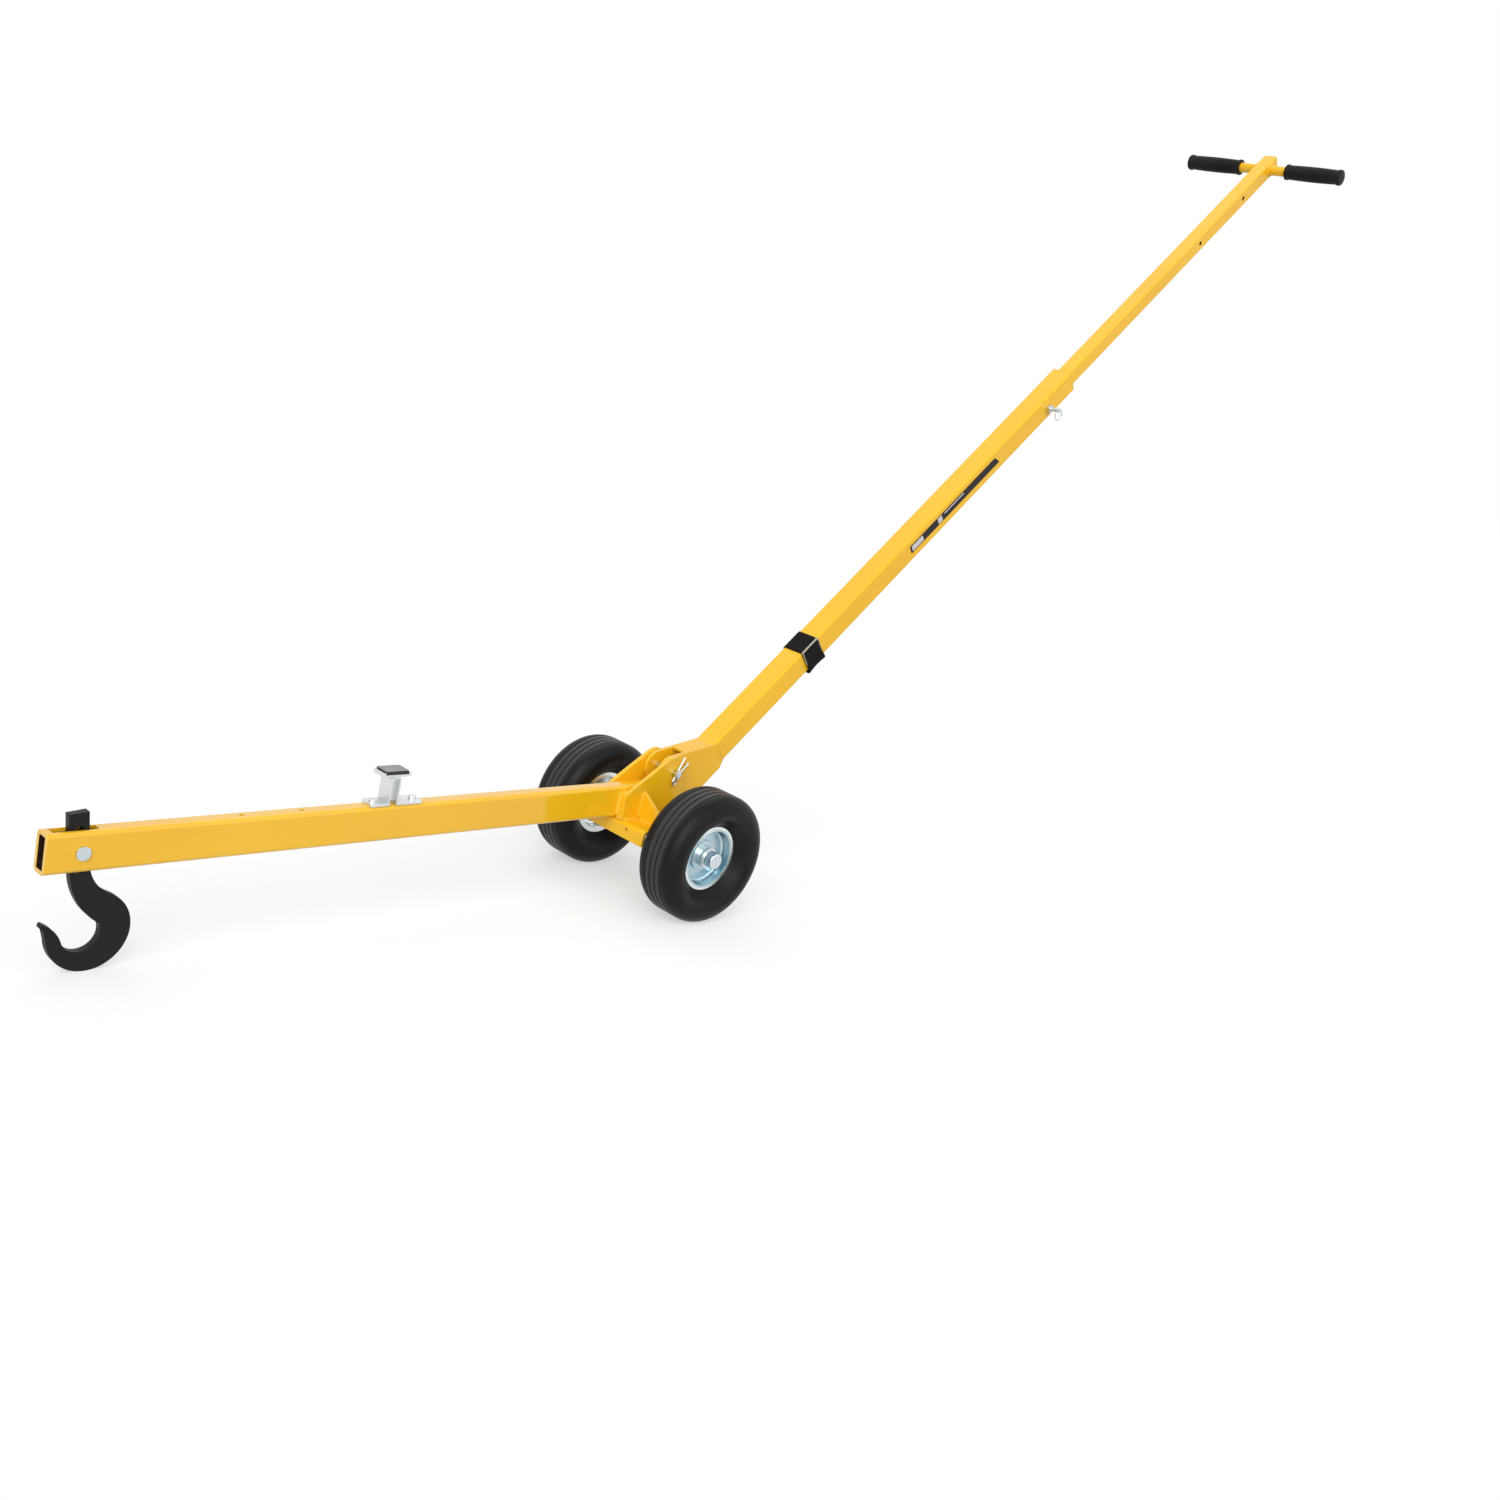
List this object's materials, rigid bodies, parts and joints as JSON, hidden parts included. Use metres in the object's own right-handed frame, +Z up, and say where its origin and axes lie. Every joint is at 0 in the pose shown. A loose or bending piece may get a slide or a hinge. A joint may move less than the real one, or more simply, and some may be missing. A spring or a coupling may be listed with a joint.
{
  "type": "wheeled lever lifter",
  "caption": "Hand lever lifter: a box-tube boom with a swinging plate hook, a two-wheel fulcrum and a folding, telescopic handle with a cross grip.",
  "frame": {"origin": "on the floor, under the middle of the overall length, in the plane of symmetry", "axes": "+X along the boom from the hook towards the handle, +Y to the side of the hook pin's clip, away from the lock pin, +Z up"},
  "size_m": [2.3786, 0.334, 1.44],
  "materials": {
    "yellow_paint": "gloss powder coat",
    "black_paint": "satin black",
    "zinc": "bright zinc plate",
    "tyre_rubber": "matt solid rubber",
    "pad_rubber": "matt",
    "grip_rubber": "matt, textured",
    "nylon": "moulded",
    "yellow_nylon": "moulded",
    "webbing": "woven"
  },
  "bodies": {
    "frame": {"boom_tube": "yellow_paint", "hook_pin": "zinc", "hook_pin_clip": "zinc", "hook_spacers": "zinc", "rest_foot": "zinc", "rest_post": "zinc", "rest_saddle": "zinc", "rest_pad": "pad_rubber", "rest_screws": "zinc", "base_channel": "yellow_paint", "cheek_left": "yellow_paint", "cheek_right": "yellow_paint", "cheek_packers": "yellow_paint", "gusset_left": "yellow_paint", "gusset_right": "yellow_paint", "axle_hangers": "yellow_paint", "axle": "zinc", "axle_spacers": "zinc", "axle_washers": "zinc", "axle_caps": "zinc", "pivot_pin": "zinc", "pivot_clip": "zinc", "pivot_washers": "zinc"},
    "hook": {"hook": "black_paint"},
    "wheel_left": {"tyre_left": "tyre_rubber", "rim_outer_left": "zinc", "rim_inner_left": "zinc", "hub_left": "zinc", "bushes_left": "nylon"},
    "wheel_right": {"tyre_right": "tyre_rubber", "rim_outer_right": "zinc", "rim_inner_right": "zinc", "hub_right": "zinc", "bushes_right": "nylon"},
    "handle": {"knee_plate_left": "yellow_paint", "knee_plate_right": "yellow_paint", "knee_web": "yellow_paint", "handle_tube": "yellow_paint", "mouth_bush": "yellow_nylon", "lock_sleeve": "zinc", "strap": "webbing"},
    "lock": {"lock_pin": "zinc", "lock_ring": "zinc"},
    "slide": {"slide_tube": "yellow_paint", "tail_bush": "nylon", "end_cap": "yellow_nylon", "grip_bar": "yellow_paint", "grip_left": "grip_rubber", "grip_right": "grip_rubber"}
  },
  "joints": [
    {"name": "hook_swing", "type": "hinge", "parent": "frame", "child": "hook", "pos_m": [-1.1473, 0, 0.152], "axis": [0, 1, 0], "range_deg": [0, 22]},
    {"name": "wheel_left_spin", "type": "hinge", "parent": "frame", "child": "wheel_left", "pos_m": [-0.2363, 0, 0.102], "axis": [0, 1, 0], "continuous": true},
    {"name": "wheel_right_spin", "type": "hinge", "parent": "frame", "child": "wheel_right", "pos_m": [-0.2363, 0, 0.102], "axis": [0, 1, 0], "continuous": true},
    {"name": "handle_fold", "type": "hinge", "parent": "frame", "child": "handle", "pos_m": [-0.2263, 0, 0.1975], "axis": [0, -1, 0], "range_deg": [0, 137.3]},
    {"name": "handle_extend", "type": "slide", "parent": "handle", "child": "slide", "axis": [0.7349, 0, 0.6782], "range_m": [-0.71, 0]},
    {"name": "lock_push", "type": "slide", "parent": "handle", "child": "lock", "axis": [0, 1, 0], "range_m": [0, 0.008]}
  ]
}
